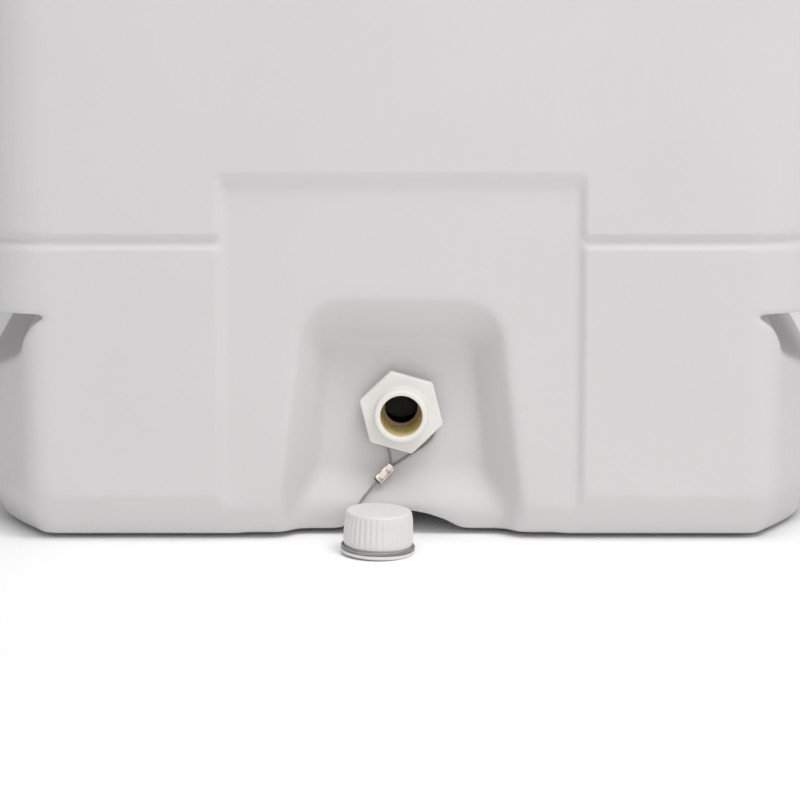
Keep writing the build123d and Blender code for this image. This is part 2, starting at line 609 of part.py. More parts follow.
with BuildPart() as collar_screws:
    with BuildSketch(Plane.XY.offset(SCREW_TOP)):
        with Locations((0, FILL_Y)):
            with PolarLocations(SCREW_CIRCLE_R, SCREWS, start_angle=FIRST_SCREW):
                Circle(SCREW_HEAD_R)
    extrude(amount=-SCREW_HEAD_T, taper=45)
    with BuildSketch(Plane.XY.offset(SCREW_TOP - SCREW_HEAD_T)):
        with Locations((0, FILL_Y)):
            with PolarLocations(SCREW_CIRCLE_R, SCREWS, start_angle=FIRST_SCREW):
                Circle(SCREW_R)
    extrude(amount=-8)
    # cross slots
    with BuildSketch(Plane.XY.offset(SCREW_TOP)):
        with Locations((0, FILL_Y)):
            with PolarLocations(SCREW_CIRCLE_R, SCREWS, start_angle=FIRST_SCREW):
                Rectangle(4.6, 1.0)
                Rectangle(1.0, 4.6)
    extrude(amount=-1.6, mode=Mode.SUBTRACT)
write(collar_screws.part, "collar_screws")

with BuildPart() as lid_gasket:
    fill_ring(COLLAR_R, COLLAR_BORE_R, COLLAR_TOP + 0.05, LID_TOP_UNDERSIDE - 0.05)
write(lid_gasket.part, "lid_gasket")

with BuildPart() as fill_lid:
    fill_ring(LID_SKIRT_R, COLLAR_R + 1, SKIRT_LOW, LID_TOP_UNDERSIDE)
    with Locations((0, FILL_Y, LID_TOP_UNDERSIDE)):
        Cylinder(LID_SKIRT_R, LID_PLATE, align=(Align.CENTER, Align.CENTER, Align.MIN))
    fillet(edges().group_by(Axis.Z)[-1], radius=3)
    with BuildSketch(Plane.XY.offset(SKIRT_LOW)):
        with Locations((0, FILL_Y)):
            with PolarLocations(LID_SKIRT_R, LID_RIBS):
                Circle(LID_RIB_R)
    extrude(amount=16)
    # grip bar across the top
    with BuildSketch(Plane.XY.offset(LID_TOP_UNDERSIDE + LID_PLATE)):
        with Locations((0, FILL_Y)):
            SlotOverall(140, 20)
    extrude(amount=13, taper=8)
    fillet(edges().group_by(Axis.Z)[-1], radius=3)
write(fill_lid.part, "fill_lid")

# ---------------------------------------------------------------- vent
VENT_FLANGE_Z = DECK_Z + 1.0
VENT_NUT_LOW = LINER_TOP - LINER_WALL - VENT_NUT_T
VENT_STEP_Z = VENT_FLANGE_Z - VENT_STEP
BUTTON_LOW, BUTTON_PLATE = VENT_FLANGE_Z + 6, VENT_FLANGE_Z + 11.6


def vent_ring(radius, bore, low, high):
    """Adds a ring round the vent's axis between two heights."""
    with BuildSketch(Plane.XY.offset(low)) as ring:
        with Locations((0, VENT_Y)):
            Circle(radius)
            Circle(bore, mode=Mode.SUBTRACT)
    extrude(ring.sketch, amount=high - low)


with BuildPart() as vent_gasket:
    vent_ring(VENT_FLANGE_R - 1, VENT_TUBE_R + 0.1, DECK_Z, VENT_FLANGE_Z)
write(vent_gasket.part, "vent_gasket")

# The plug's seal closes the narrow bore; lifted into the wide bore above, it lets air past.
with BuildPart() as vent_body:
    flange_top, collar_top = VENT_FLANGE_Z + VENT_FLANGE_T, VENT_FLANGE_Z + VENT_COLLAR_TOP
    vent_ring(VENT_FLANGE_R, VENT_WIDE_R, VENT_FLANGE_Z, flange_top)
    vent_ring(VENT_COLLAR_R, VENT_WIDE_R, flange_top, collar_top)
    vent_ring(VENT_TUBE_R, VENT_WIDE_R, VENT_STEP_Z, VENT_FLANGE_Z)
    vent_ring(VENT_TUBE_R, VENT_BORE_R, VENT_NUT_LOW - 2, VENT_STEP_Z)
write(vent_body.part, "vent_body")

with BuildPart() as vent_lock_nut:
    with BuildSketch(Plane.XY.offset(VENT_NUT_LOW)):
        with Locations((0, VENT_Y)):
            RegularPolygon(VENT_NUT_R, 6)
            Circle(VENT_TUBE_R + 0.1, mode=Mode.SUBTRACT)
    extrude(amount=VENT_NUT_T)
write(vent_lock_nut.part, "vent_lock_nut")

with BuildPart() as vent_plug:
    vent_ring(BUTTON_R, BUTTON_BORE_R, BUTTON_LOW, BUTTON_PLATE)
    with Locations((0, VENT_Y, BUTTON_PLATE)):
        Cylinder(BUTTON_R, BUTTON_T, align=(Align.CENTER, Align.CENTER, Align.MIN))
    fillet(edges().group_by(Axis.Z)[-1], radius=2)
    with Locations((0, VENT_Y, BUTTON_PLATE)):
        Cylinder(STEM_R, STEM_L, align=(Align.CENTER, Align.CENTER, Align.MAX))
    with BuildSketch(Plane.XY.offset(BUTTON_LOW + 1)):
        with Locations((0, VENT_Y)):
            with PolarLocations(BUTTON_R, BUTTON_RIBS):
                Circle(BUTTON_RIB_R)
    extrude(amount=7)
write(vent_plug.part, "vent_plug")

with BuildPart() as vent_seal:
    vent_ring(VENT_BORE_R - 0.1, STEM_R, VENT_STEP_Z - 4, VENT_STEP_Z - 2)
write(vent_seal.part, "vent_seal")
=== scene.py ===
# Looks of the insulated fresh water tank: its moulded body, outlet, capped lanyard, fill lid and vent.
# Sizes and places are in millimetres, and MM turns them into metres. Only the floor, the camera, the lights
# and the lanyard's free stretch are written in metres.

import json
from math import atan2, ceil, copysign, cos, pi, radians, sin, tan, tau

import bmesh
import bpy
import numpy as np
from mathutils import Matrix, Vector


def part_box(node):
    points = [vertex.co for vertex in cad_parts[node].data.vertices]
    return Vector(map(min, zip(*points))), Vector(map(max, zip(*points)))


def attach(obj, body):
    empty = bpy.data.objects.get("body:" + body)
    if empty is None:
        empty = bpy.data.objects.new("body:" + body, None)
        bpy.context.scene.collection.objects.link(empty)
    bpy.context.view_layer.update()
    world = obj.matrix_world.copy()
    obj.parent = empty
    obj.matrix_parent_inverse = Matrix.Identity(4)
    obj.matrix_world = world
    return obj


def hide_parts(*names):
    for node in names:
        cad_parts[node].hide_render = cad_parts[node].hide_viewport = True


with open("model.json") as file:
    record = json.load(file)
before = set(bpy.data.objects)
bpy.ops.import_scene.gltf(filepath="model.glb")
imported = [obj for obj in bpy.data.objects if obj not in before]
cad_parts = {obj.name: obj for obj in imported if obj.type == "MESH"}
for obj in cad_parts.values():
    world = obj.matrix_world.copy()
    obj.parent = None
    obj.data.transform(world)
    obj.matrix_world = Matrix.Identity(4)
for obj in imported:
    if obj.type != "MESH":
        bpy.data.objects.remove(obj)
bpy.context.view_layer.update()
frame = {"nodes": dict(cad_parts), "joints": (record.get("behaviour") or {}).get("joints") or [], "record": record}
MM = 0.001


def extent(node):
    """Lowest and highest corner of a CAD node, in millimetres."""
    low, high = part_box(node)
    return Vector(low) / MM, Vector(high) / MM


def joint(name):
    """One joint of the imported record."""
    return next(j for j in frame["joints"] if j["name"] == name)


# ---------------------------------------------------------------- sizes that the pieces share
WASHER_LOW, WASHER_HIGH = extent("drain_outer_washer")
MOUTH_Y = extent("drain_spout")[0].y
SHANK_END_Y = extent("drain_spout")[1].y
OUTLET_Z = (WASHER_LOW.z + WASHER_HIGH.z) / 2
SPOUT_R, SLEEVE_R, BORE_R, THROAT_R = 13.3, 11.0, 10.4, 8.1
SLEEVE_BEHIND_MOUTH, THROAT_BEHIND_MOUTH = 2.0, 22.0
NOSE, HEX_T = 8.5, 4.0
HEX_HALF = 18.75  # from the hexagon's centre to a flat
HEX_TURN = radians(-16)
CABLE_D = 1.5
STRANDS = 6  # laid round a seventh
FERRULE_W, FERRULE_T, FERRULE_WALL = 5.0, 3.2, 0.55

# The lanyard's free stretch in metres, the same points as in part.py.
ROUTE = [
    (-0.0120, -0.26295, 0.0277),
    (-0.0149, -0.2648, 0.0244),
    (-0.0180, -0.2679, 0.0215),
    (-0.0209, -0.2708, 0.0179),
    (-0.0229, -0.2727, 0.0134),
    (-0.0232, -0.2736, 0.0089),
    (-0.0210, -0.2739, 0.0054),
    (-0.0173, -0.2740, 0.0037),
    (-0.011906, -0.273644, 0.003502),
    (-0.008525, -0.274875, 0.003384),
]
# The loop round the spout's neck: offsets from the outlet's axis in X and Z, the same as in part.py.
LOOP_POINTS = [
    (-5.2, -27.6),
    (-5.0, -20.5),
    (-11.5, -13.5),
    (-16.5, 0.0),
    (-13.0, 12.0),
    (0.0, 17.4),
    (13.0, 12.0),
    (17.4, -1.5),
    (16.8, -14.0),
    (3.4, -23.0),
    (-4.2, -27.9),
]


# ---------------------------------------------------------------- camera, floor and light
CAMERA_PLACE = (0.0, -2.0203, 0.4506)
CAMERA_DOWN, CAMERA_YAW = 12.251, 0.02  # degrees
LENS, SENSOR = 163.2, 36
FLOOR_HALF = 6.0


def add_camera():
    """The camera in front of the outlet, a little above it."""
    data = bpy.data.cameras.new("camera")
    camera = bpy.data.objects.new("camera", data)
    bpy.context.scene.collection.objects.link(camera)
    camera.location = CAMERA_PLACE
    camera.rotation_euler = (radians(90 - CAMERA_DOWN), 0, radians(CAMERA_YAW))
    data.sensor_width = SENSOR
    data.lens = LENS
    bpy.context.scene.camera = camera


def add_area_light(name, place, energy, size, aim=(0, -0.1, 0.1)):
    """A square soft box that faces the object, or another spot that is given."""
    data = bpy.data.lights.new(name, "AREA")
    data.energy = energy
    data.size = size
    light = bpy.data.objects.new(name, data)
    bpy.context.scene.collection.objects.link(light)
    light.location = place
    light.rotation_euler = (Vector(aim) - Vector(place)).to_track_quat("-Z", "Y").to_euler()


def add_studio():
    """A white floor under an even white sky, with soft boxes at the upper right, above and in front."""
    corners = [(x * FLOOR_HALF, y * FLOOR_HALF, 0) for x, y in ((-1, -1), (1, -1), (1, 1), (-1, 1))]
    mesh = bpy.data.meshes.new("floor")
    mesh.from_pydata(corners, [], [(0, 1, 2, 3)])
    floor = bpy.data.objects.new("floor", mesh)
    bpy.context.scene.collection.objects.link(floor)
    paper = bpy.data.materials.new("floor_paper")
    paper.use_nodes = True
    shader = paper.node_tree.nodes["Principled BSDF"]
    shader.inputs["Base Color"].default_value = (0.97, 0.97, 0.97, 1)
    shader.inputs["Roughness"].default_value = 0.9
    mesh.materials.append(paper)

    world = bpy.data.worlds.new("studio")
    bpy.context.scene.world = world
    world.use_nodes = True
    sky = world.node_tree.nodes["Background"]
    sky.inputs["Color"].default_value = (1, 1, 1, 1)
    sky.inputs["Strength"].default_value = 0.35
    add_area_light("key", (0.9, -1.3, 2.3), energy=18, size=0.8)
    add_area_light("top", (0.1, -1.0, 2.6), energy=30, size=1.8, aim=(0, -0.9, 0))
    add_area_light("front", (0.7, -2.4, 1.25), energy=12, size=2.0)
    bpy.context.scene.view_settings.view_transform = "Standard"


# ---------------------------------------------------------------- mesh helpers
CORNER_STEPS = 5
CORNER_SHARE = 0.48  # the most that a rounded corner takes of the side beside it


def skin(name, rings, loop=False):
    """A closed mesh through rings of points in millimetres. A ring of one point is a pole; loop joins the last
    ring to the first."""
    starts = np.cumsum([0] + [len(ring) for ring in rings])
    verts = [Vector(p) * MM for ring in rings for p in ring]
    faces = []
    pairs = [(i, i + 1) for i in range(len(rings) - 1)] + ([(len(rings) - 1, 0)] if loop else [])
    for a, b in pairs:
        size_a, size_b = len(rings[a]), len(rings[b])
        around = max(size_a, size_b)
        for i in range(around):
            j = (i + 1) % around
            quad = [starts[a] + i % size_a, starts[a] + j % size_a]
            quad += [starts[b] + j % size_b, starts[b] + i % size_b]
            faces.append(list(dict.fromkeys(int(v) for v in quad)))
    mesh = bpy.data.meshes.new(name)
    mesh.from_pydata(verts, [], faces)
    return add_piece(name, mesh)


def add_piece(name, mesh):
    """Puts a mesh in the scene with its faces turned outward and smooth."""
    work = bmesh.new()
    work.from_mesh(mesh)
    bmesh.ops.recalc_face_normals(work, faces=work.faces)
    for face in work.faces:
        face.smooth = True
    work.to_mesh(mesh)
    work.free()
    piece = bpy.data.objects.new(name, mesh)
    bpy.context.scene.collection.objects.link(piece)
    return piece


def settle(piece):
    """Applies a piece's modifiers to its mesh."""
    evaluated = piece.evaluated_get(bpy.context.evaluated_depsgraph_get())
    mesh = bpy.data.meshes.new_from_object(evaluated)
    piece.modifiers.clear()
    piece.data = mesh


def even_normals(piece):
    """Lets the large faces of a piece set its shading, so that flats look flat beside rounded edges."""
    piece.modifiers.new("even_normals", "WEIGHTED_NORMAL").weight = 80


def rounded(profile, closed):
    """Rounds the corners of a profile. Each entry is (radius, height, corner radius) with an optional share,
    and the result is a list of (radius, height, share)."""
    count = len(profile)
    points = []
    for i, (r, h, corner, *share) in enumerate(profile):
        share = share[0] if share else 0.0
        here = Vector((r, h))
        at_end = not closed and i in (0, count - 1)
        if corner == 0 or at_end:
            points.append((r, h, share))
            continue
        to_last = Vector(profile[i - 1][:2]) - here
        to_next = Vector(profile[(i + 1) % count][:2]) - here
        half = to_last.angle(to_next) / 2
        reach = min(corner / tan(half), CORNER_SHARE * to_last.length, CORNER_SHARE * to_next.length)
        start, end = here + to_last.normalized() * reach, here + to_next.normalized() * reach
        for k in range(CORNER_STEPS + 1):
            t = k / CORNER_STEPS
            p = start * (1 - t) ** 2 + here * 2 * t * (1 - t) + end * t**2
            points.append((p.x, p.y, share))
    return points


def round_shape(r, h, angle, share):
    """A plain circle of the profile's radius."""
    return r


def lathe(name, profile, place, shape=round_shape, turns=128, closed=True):
    """Turns a profile about the local z axis of place. shape gives the radius at an angle. A closed profile
    makes a ring, and an open one starts and ends on the axis."""
    rings = []
    for r, h, share in rounded(profile, closed):
        if r < 1e-6:
            rings.append([place @ Vector((0, 0, h))])
            continue
        ring = []
        for i in range(turns):
            angle = tau * i / turns
            reach = shape(r, h, angle, share)
            ring.append(place @ Vector((reach * cos(angle), reach * sin(angle), h)))
        rings.append(ring)
    piece = skin(name, rings, loop=closed)
    even_normals(piece)
    return piece


def boxy(angle, exponent):
    """A point at an angle on a rounded square of half-width 1; a higher exponent makes it squarer."""
    power = 2 / exponent
    u = copysign(abs(cos(angle)) ** power, cos(angle))
    v = copysign(abs(sin(angle)) ** power, sin(angle))
    return u, v


def upright(x, y, z):
    """A local frame whose z axis is straight up."""
    return Matrix.Translation((x, y, z))


def facing_front(x, y, z):
    """A local frame seen from the front: its x is +X, its y is up, and its z comes out of the tank."""
    return Matrix.Translation((x, y, z)) @ Matrix.Rotation(pi / 2, 4, "X")


def subdivided(points, spacing):
    """Points along a line, at most spacing apart."""
    out = [points[0]]
    for a, b in zip(points, points[1:]):
        parts = max(1, ceil((b - a).length / spacing))
        out += [a.lerp(b, (k + 1) / parts) for k in range(parts)]
    return out


def nurbs_line(name, points, resolution=16):
    """Points read from a smooth NURBS spline whose control points are given, in metres."""
    curve = bpy.data.curves.new(name, "CURVE")
    curve.dimensions = "3D"
    curve.resolution_u = resolution
    spline = curve.splines.new("NURBS")
    spline.points.add(len(points) - 1)
    for control, point in zip(spline.points, points):
        control.co = (*point, 1)
    spline.order_u = 3
    spline.use_endpoint_u = True
    holder = bpy.data.objects.new(name, curve)
    bpy.context.scene.collection.objects.link(holder)
    mesh = bpy.data.meshes.new_from_object(holder)
    line = [v.co.copy() for v in mesh.vertices]
    bpy.data.objects.remove(holder)
    bpy.data.curves.remove(curve)
    bpy.data.meshes.remove(mesh)
    return line


def wire_rope(name, line, loop=False):
    """A rope of six strands laid round a seventh along a line in metres. Each point keeps its place round and
    along its strand, which the wires in the material follow."""
    radius = CABLE_D / 2 * MM
    strand_r, strand_reach = 0.345 * radius, 0.66 * radius
    lay = 7.5 * CABLE_D * MM  # length of one turn of the strands
    sides, spacing = 7, 0.3 * MM
    line = subdivided(line, spacing)
    if loop:
        line = line[:-1]
    count = len(line)
    tangents = []
    for i in range(count):
        before = line[i - 1] if (loop or i > 0) else line[i]
        after = line[(i + 1) % count] if (loop or i < count - 1) else line[i]
        tangents.append((after - before).normalized())
    normal = tangents[0].orthogonal().normalized()
    normals, along, travelled = [], [], 0.0
    for i in range(count):
        normal = (normal - tangents[i] * normal.dot(tangents[i])).normalized()
        normals.append(normal.copy())
        along.append(travelled)
        if i < count - 1:
            travelled += (line[i + 1] - line[i]).length
    whole_turns = max(1, round(travelled / lay))
    closing = 0.0
    if loop:
        last = tangents[0]
        drift = (normal - last * normal.dot(last)).normalized()
        closing = atan2(last.dot(drift.cross(normals[0])), drift.dot(normals[0]))
    verts, faces, place = [], [], []
    for strand in range(STRANDS + 1):
        offset = 0.0 if strand == STRANDS else strand_reach
        base = len(verts)
        for i in range(count):
            share = along[i] / travelled
            side = tangents[i].cross(normals[i])
            twist = tau * strand / STRANDS + share * (tau * whole_turns + closing)
            centre = line[i] + (normals[i] * cos(twist) + side * sin(twist)) * offset
            for k in range(sides):
                a = twist + tau * k / sides
                verts.append(centre + (normals[i] * cos(a) + side * sin(a)) * strand_r)
                place.append((cos(tau * k / sides), sin(tau * k / sides), along[i] / MM))
        for i in range(count if loop else count - 1):
            row, ahead = base + i * sides, base + ((i + 1) % count) * sides
            for k in range(sides):
                nxt = (k + 1) % sides
                faces.append((row + k, row + nxt, ahead + nxt, ahead + k))
        if not loop:
            faces.append(tuple(base + k for k in range(sides)))
            faces.append(tuple(base + (count - 1) * sides + k for k in range(sides)))
    mesh = bpy.data.meshes.new(name)
    mesh.from_pydata(verts, [], faces)
    attribute = mesh.attributes.new("strand_place", "FLOAT_VECTOR", "POINT")
    attribute.data.foreach_set("vector", [c for p in place for c in p])
    return add_piece(name, mesh)


# ---------------------------------------------------------------- materials
NOISE_LOW, NOISE_HIGH = 0.3, 0.7  # most of a noise's values lie between these
MIX_FACTOR, MIX_UNDER, MIX_OVER, MIX_RESULT = 0, 6, 7, 2  # the Mix node's sockets for colours
WIRES_IN_STRAND, WIRE_SLANT = 6, 9.0


class Finish:
    """A procedural material: a principled shader with the texture nodes that the helpers add to it."""

    def __init__(self, name, colour, roughness, **inputs):
        self.material = bpy.data.materials.new(name)
        self.material.use_nodes = True
        self.tree = self.material.node_tree
        self.shader = self.tree.nodes["Principled BSDF"]
        self.shader.inputs["Base Color"].default_value = (*colour, 1)
        self.shader.inputs["Roughness"].default_value = roughness
        for socket, value in inputs.items():
            self.shader.inputs[socket.replace("_", " ")].default_value = value
        self.colour = colour
        self.place = self.tree.nodes.new("ShaderNodeTexCoord").outputs["Object"]
        self.last_bump = None
        self.last_colour = None

    def node(self, kind, **settings):
        """A new node. A setting named after an input sets that input, and any other sets the node itself."""
        node = self.tree.nodes.new("ShaderNode" + kind)
        for key, value in settings.items():
            if key in node.inputs:
                node.inputs[key].default_value = value
            else:
                setattr(node, key, value)
        return node

    def link(self, output, socket):
        self.tree.links.new(output, socket)

    def noise(self, grain_mm, detail=3, stretch=(1, 1, 1)):
        """Noise with a grain of so many millimetres, drawn out along an axis where stretch is small."""
        noise = self.node("TexNoise", Scale=1 / (grain_mm * MM), Detail=detail)
        mapping = self.node("Mapping")
        mapping.inputs["Scale"].default_value = stretch
        self.link(self.place, mapping.inputs["Vector"])
        self.link(mapping.outputs["Vector"], noise.inputs["Vector"])
        return noise.outputs["Fac"]

    def ramp(self, value, stops):
        """Maps a value to a grey level or a colour through (position, colour) stops."""
        ramp = self.node("ValToRGB")
        elements = ramp.color_ramp.elements
        while len(elements) < len(stops):
            elements.new(0.5)
        for element, (position, colour) in zip(elements, stops):
            element.position = position
            element.color = (*colour, 1) if hasattr(colour, "__len__") else (colour, colour, colour, 1)
        self.link(value, ramp.inputs["Fac"])
        return ramp.outputs["Color"]

    def shade(self, factor, colour):
        """Mixes a colour over the base colour where factor is high."""
        mix = self.node("Mix", data_type="RGBA")
        if self.last_colour is None:
            mix.inputs[MIX_UNDER].default_value = (*self.colour, 1)
        else:
            self.link(self.last_colour, mix.inputs[MIX_UNDER])
        mix.inputs[MIX_OVER].default_value = (*colour, 1)
        self.link(factor, mix.inputs[MIX_FACTOR])
        self.last_colour = mix.outputs[MIX_RESULT]
        self.link(self.last_colour, self.shader.inputs["Base Color"])

    def map_range(self, value, from_low, from_high, to_low=0.0, to_high=1.0):
        """Maps a value from one span to another, and holds it at the ends."""
        span = self.node("MapRange")
        span.inputs["From Min"].default_value = from_low
        span.inputs["From Max"].default_value = from_high
        span.inputs["To Min"].default_value = to_low
        span.inputs["To Max"].default_value = to_high
        self.link(value, span.inputs["Value"])
        return span.outputs["Result"]

    def math(self, operation, first, second=0.0):
        """Works on one value or on two, of which the second is an output or a number."""
        node = self.node("Math", operation=operation)
        self.link(first, node.inputs[0])
        if isinstance(second, (int, float)):
            node.inputs[1].default_value = second
        else:
            self.link(second, node.inputs[1])
        return node.outputs[0]

    def vary(self, grain_mm, darker, lighter, stretch=(1, 1, 1)):
        """Lets the colour drift between a darker and a lighter multiple of itself."""
        low = tuple(c * darker for c in self.colour)
        high = tuple(min(1.0, c * lighter) for c in self.colour)
        value = self.noise(grain_mm, 4, stretch)
        self.last_colour = self.ramp(value, [(NOISE_LOW, low), (NOISE_HIGH, high)])
        self.link(self.last_colour, self.shader.inputs["Base Color"])

    def bump(self, height, depth_mm, strength=1.0):
        """Adds relief to what is there already."""
        bump = self.node("Bump", Strength=strength, Distance=depth_mm * MM)
        self.link(height, bump.inputs["Height"])
        if self.last_bump is not None:
            self.link(self.last_bump, bump.inputs["Normal"])
        self.last_bump = bump.outputs["Normal"]
        self.link(self.last_bump, self.shader.inputs["Normal"])

    def rough(self, value, low, high):
        """Lets the roughness drift between two values."""
        result = self.map_range(value, NOISE_LOW, NOISE_HIGH, low, high)
        self.link(result, self.shader.inputs["Roughness"])

    def specks(self, spacing_mm, size_mm, colour, empty):
        """Tiny flecks, one in each cell about spacing wide, but for the share of cells that stay empty."""
        cells = self.node("TexVoronoi", Scale=1 / (spacing_mm * MM))
        self.link(self.place, cells.inputs["Vector"])
        parts = self.node("SeparateColor")
        self.link(cells.outputs["Color"], parts.inputs["Color"])
        near = self.math("LESS_THAN", cells.outputs["Distance"], size_mm / spacing_mm)
        chosen = self.math("GREATER_THAN", parts.outputs["Red"], empty)
        self.shade(self.math("MULTIPLY", near, chosen), colour)


def shell_finish():
    """Rotomoulded polyethylene: matte, faint orange peel, slow colour drift, a few dark specks."""
    finish = Finish("rotomoulded_grey", (0.665, 0.645, 0.648), 0.5, Specular_IOR_Level=0.35)
    finish.vary(90, 0.985, 1.015)
    finish.specks(9, 0.22, (0.36, 0.34, 0.33), 0.86)
    finish.rough(finish.noise(6, 4), 0.46, 0.58)
    finish.bump(finish.noise(28, 2), 0.25, 0.25)
    finish.bump(finish.noise(1.5, 3), 0.05, 0.5)
    return finish.material


def liner_finish():
    """Smooth food-grade polyethylene."""
    finish = Finish("food_grade_white", (0.80, 0.80, 0.77), 0.38)
    finish.vary(60, 0.97, 1.01)
    finish.rough(finish.noise(12), 0.32, 0.45)
    finish.bump(finish.noise(3, 3), 0.05, 0.4)
    return finish.material


def foam_finish():
    """Rigid foam: pale yellow with open cells."""
    finish = Finish("rigid_foam", (0.83, 0.76, 0.52), 0.9)
    finish.vary(8, 0.9, 1.05)
    cells = finish.node("TexVoronoi", Scale=1 / (1.2 * MM))
    finish.link(finish.place, cells.inputs["Vector"])
    finish.bump(cells.outputs["Distance"], 0.6, 0.8)
    return finish.material


def rubber_finish(name, colour):
    """Moulded rubber with a dusty sheen."""
    finish = Finish(name, colour, 0.75, Sheen_Weight=0.15)
    finish.vary(5, 0.85, 1.2)
    finish.rough(finish.noise(2), 0.65, 0.85)
    finish.bump(finish.noise(0.5, 3), 0.05, 0.6)
    return finish.material


def moulded_finish(name, colour, roughness, translucent=0.0):
    """Injection-moulded plastic: satin, with faint flow marks and slightly darker, scuffed patches."""
    finish = Finish(name, colour, roughness, Subsurface_Weight=translucent, Subsurface_Scale=0.002)
    finish.vary(14, 0.97, 1.02)
    scuffs = finish.ramp(finish.noise(3.5, 6), [(0.60, 0.0), (0.86, 0.14)])
    finish.shade(scuffs, tuple(c * 0.8 for c in colour))
    finish.rough(finish.noise(2.5, 4), roughness - 0.06, roughness + 0.1)
    finish.bump(finish.noise(0.7, 3), 0.03, 0.4)
    finish.bump(finish.noise(1.2, 4, (1, 1, 0.08)), 0.04, 0.25)
    return finish.material


def nylon_finish():
    """Natural nylon of the bore: amber, a little glossy, browner in patches, with painted shade behind its throat.
    """
    throat_y = MOUTH_Y + THROAT_BEHIND_MOUTH
    fade = 1.5
    amber, brown, dark = (0.97, 0.77, 0.40), (0.62, 0.47, 0.22), (0.02, 0.016, 0.008)
    finish = Finish("natural_nylon", amber, 0.32, Subsurface_Weight=0.3, Subsurface_Scale=0.004)
    finish.vary(5, 0.86, 1.08)
    finish.shade(finish.ramp(finish.noise(1.6, 5), [(0.58, 0.0), (0.8, 0.35)]), brown)
    # painted shade: behind the throat the colour fades to nearly black, where the bore lies in shadow
    parts = finish.node("SeparateXYZ")
    finish.link(finish.place, parts.inputs["Vector"])
    depth = finish.map_range(parts.outputs["Y"], (throat_y - fade) * MM, (throat_y + fade) * MM)
    painted_throat_shade = finish.ramp(depth, [(0.0, 0.0), (0.5, 0.55), (1.0, 1.0)])
    finish.shade(painted_throat_shade, dark)
    finish.rough(finish.noise(2), 0.26, 0.42)
    finish.bump(finish.noise(0.8, 3), 0.05, 0.5)
    return finish.material


def nickel_finish():
    """Bright plate on a crimped sleeve: warm, unevenly polished, and darkened with painted shade where the mesh
    marks it.
    """
    finish = Finish("bright_nickel", (0.68, 0.60, 0.545), 0.22, Metallic=1.0)
    finish.vary(2.5, 0.92, 1.05)
    finish.rough(finish.noise(0.8, 4), 0.14, 0.3)
    finish.bump(finish.noise(1.5, 2), 0.02, 0.3)
    # painted shade from the mesh: inside the ferrule's hollow and along one narrow side
    painted_shade = finish.node("Attribute", attribute_name="painted_shade").outputs["Fac"]
    finish.shade(painted_shade, (0.05, 0.035, 0.022))
    return finish.material


def stainless_finish():
    """Satin stainless steel of the screws."""
    finish = Finish("satin_stainless", (0.60, 0.60, 0.59), 0.35, Metallic=1.0)
    finish.vary(2, 0.85, 1.08)
    finish.rough(finish.noise(0.6, 4), 0.28, 0.45)
    finish.bump(finish.noise(0.4, 3, (1, 0.2, 1)), 0.02, 0.5)
    return finish.material


def rope_finish():
    """Stranded wire: the wires run aslant round each strand, with painted shade between them."""
    finish = Finish("stranded_wire", (0.6, 0.59, 0.57), 0.4, Metallic=0.8)
    place = finish.node("Attribute", attribute_name="strand_place").outputs["Vector"]
    parts = finish.node("SeparateXYZ")
    finish.link(place, parts.inputs["Vector"])
    around = finish.math("ARCTAN2", parts.outputs["Y"], parts.outputs["X"])
    turns = finish.math("MULTIPLY", around, WIRES_IN_STRAND)
    travel = finish.math("MULTIPLY", parts.outputs["Z"], WIRE_SLANT)
    phase = finish.math("SUBTRACT", turns, travel)
    wave = finish.math("SINE", phase)
    # the ramp's dark end is painted shade in the grooves between the wires
    dark = finish.ramp(wave, [(0.0, (0.30, 0.29, 0.28)), (0.55, (0.66, 0.65, 0.63))])
    finish.link(dark, finish.shader.inputs["Base Color"])
    finish.bump(wave, 0.05, 0.8)
    return finish.material


MATERIALS = {
    "shell": shell_finish(),
    "liner": liner_finish(),
    "foam": foam_finish(),
    "black_rubber": rubber_finish("black_rubber", (0.03, 0.03, 0.03)),
    "shell_plug": moulded_finish("plug_grey", (0.60, 0.59, 0.585), 0.5),
    "fitting_white": moulded_finish("fitting_white", (0.82, 0.80, 0.765), 0.4, 0.05),
    "natural_nylon": nylon_finish(),
    "grey_rubber": rubber_finish("grey_rubber", (0.34, 0.34, 0.33)),
    "wire_rope": rope_finish(),
    "nickel": nickel_finish(),
    "cap_white": moulded_finish("cap_white", (0.73, 0.72, 0.71), 0.42, 0.05),
    "stainless": stainless_finish(),
}
SLOTS = {part["node"]: part["material_slot"] for part in frame["record"]["subparts"]}
BODIES = {node: body for body, nodes in frame["record"]["behaviour"]["bodies"].items() for node in nodes}


def stand_for(piece, node):
    """The piece takes a CAD node's place: its body, its slot and that slot's material."""
    piece.data.materials.clear()
    piece.data.materials.append(MATERIALS[SLOTS[node]])
    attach(piece, BODIES[node])
    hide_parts(node)
    return piece


def dress_cad_nodes():
    """Gives every CAD node its slot's material, which shows on those that no piece replaces."""
    for name, node in frame["nodes"].items():
        for place in node.material_slots:
            place.material = MATERIALS[SLOTS[name]]
        if not node.material_slots:
            node.data.materials.append(MATERIALS[SLOTS[name]])


# ---------------------------------------------------------------- body
VOXEL = 1.6
MOST_TRIANGLES = 190000
WEIGHT_STEPS = 10
RECESS_HALF, RECESS_TOP, RECESS_BACK_Y = 76, 132, -242
SEAT_R, SEAT_EDGE_R = 17, 26  # the flat round the outlet's washer, kept as the CAD has it
LEDGE_IN, LEDGE_OUT, LEDGE_LOW, LEDGE_HIGH = 163, 217, 88, 119
BASE_HALF_W, BASE_HALF_L, BASE_LOW, BASE_HIGH = 212, 280, 26, 34
CORNER_LOW, CORNER_HIGH = 20, 92


def ease(value, low, high):
    """0 below low, 1 above high, and a smooth step between, for arrays too."""
    t = np.clip((value - low) / (high - low), 0, 1)
    return t * t * (3 - 2 * t)


def inside(value, low, high, margin):
    """1 between low and high, fading out over a margin at each end."""
    return ease(value, low - margin, low) * (1 - ease(value, high, high + margin))


